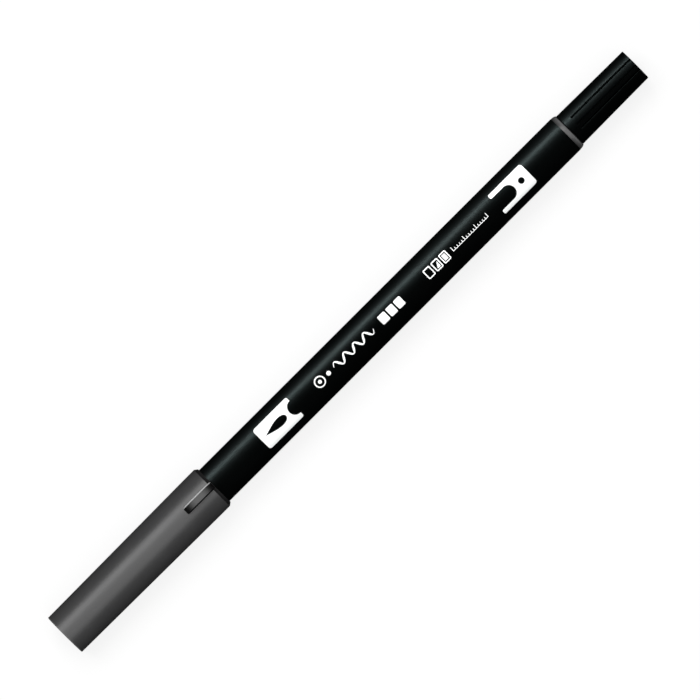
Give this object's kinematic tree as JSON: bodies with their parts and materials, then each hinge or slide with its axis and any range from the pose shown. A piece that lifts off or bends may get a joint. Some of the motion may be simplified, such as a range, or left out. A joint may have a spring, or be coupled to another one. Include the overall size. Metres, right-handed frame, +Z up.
{
  "type": "felt tip marker",
  "caption": "Slim double-ended felt-tip marker: a brush nib under a long cap with an anti-roll fin, a fine nib under a short grooved cap.",
  "frame": {"origin": "under the middle of the pen's length, on the surface that it lies on", "axes": "+X along the pen towards the fine end, the brush cap at -X; +Z up, through the anti-roll fin"},
  "size_m": [0.1714, 0.0108, 0.012],
  "materials": {
    "black_plastic": "satin black polypropylene with a soft sheen",
    "grey_plastic": "satin neutral grey polypropylene, the colour of the ink",
    "natural_plastic": "milky natural polyethylene",
    "inked_fibre": "grey-inked fibre, fine lengthwise grain",
    "reservoir_fibre": "ink-soaked polyester wadding",
    "film_plastic": "thin clear wrap",
    "white_print": null
  },
  "bodies": {
    "barrel": {"barrel_tube": "black_plastic", "brush_section": "black_plastic", "brush_nib_holder": "natural_plastic", "brush_nib": "inked_fibre", "reservoir_core": "reservoir_fibre", "reservoir_film": "film_plastic", "fine_section": "black_plastic", "fine_nib_sleeve": "natural_plastic", "fine_nib": "inked_fibre", "color_ring": "grey_plastic"},
    "brush_cap": {"brush_cap_shell": "grey_plastic", "brush_cap_liner": "natural_plastic"},
    "fine_cap": {"fine_cap_shell": "black_plastic"}
  },
  "joints": [
    {"name": "brush_cap_pull", "type": "slide", "parent": "barrel", "child": "brush_cap", "axis": [-1, 0, 0], "range_m": [0, 0.042]},
    {"name": "fine_cap_pull", "type": "slide", "parent": "barrel", "child": "fine_cap", "axis": [1, 0, 0], "range_m": [0, 0.018]}
  ]
}
